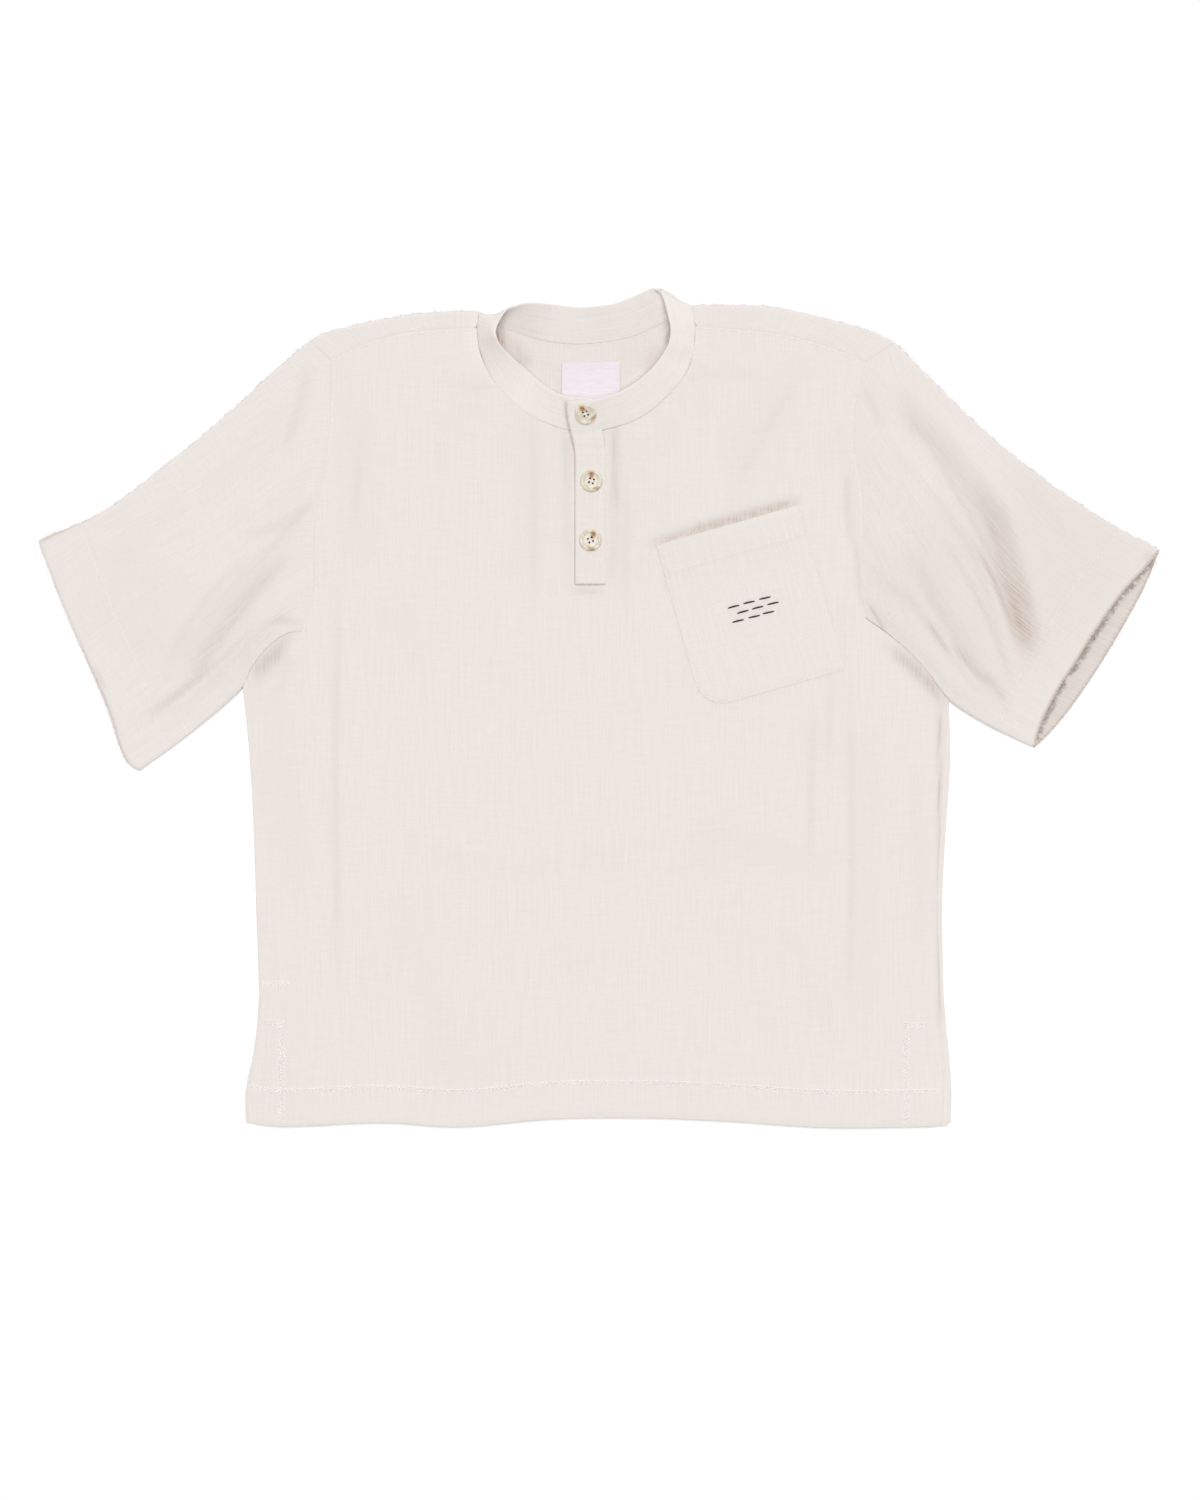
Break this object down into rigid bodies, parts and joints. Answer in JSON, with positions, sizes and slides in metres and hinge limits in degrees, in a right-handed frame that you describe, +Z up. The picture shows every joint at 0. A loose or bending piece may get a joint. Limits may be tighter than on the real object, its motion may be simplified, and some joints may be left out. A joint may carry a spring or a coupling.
{
  "type": "henley shirt",
  "caption": "Short-sleeved collarless shirt with a stand neckband, buttoned half placket, chest pocket and vented hem, laid flat on its back.",
  "frame": {"origin": "on the surface that the shirt lies on, under the middle of its footprint", "axes": "+X towards the viewer's right, from sleeve to sleeve; +Y from the hem to the collar; +Z up, away from the surface"},
  "size_m": [0.93, 0.6962, 0.0321],
  "materials": {
    "gauze": "unbleached cotton double gauze, crinkled, matt",
    "label_tape": "smooth woven tape",
    "button_horn": "mottled horn resin, polished"
  },
  "bodies": {
    "root": {"back": "gauze", "front": "gauze", "sleeve_left": "gauze", "sleeve_right": "gauze", "collar": "gauze", "placket_over": "gauze", "placket_under": "gauze", "pocket": "gauze", "label": "label_tape", "button_top": "button_horn", "button_middle": "button_horn", "button_bottom": "button_horn"}
  },
  "joints": []
}
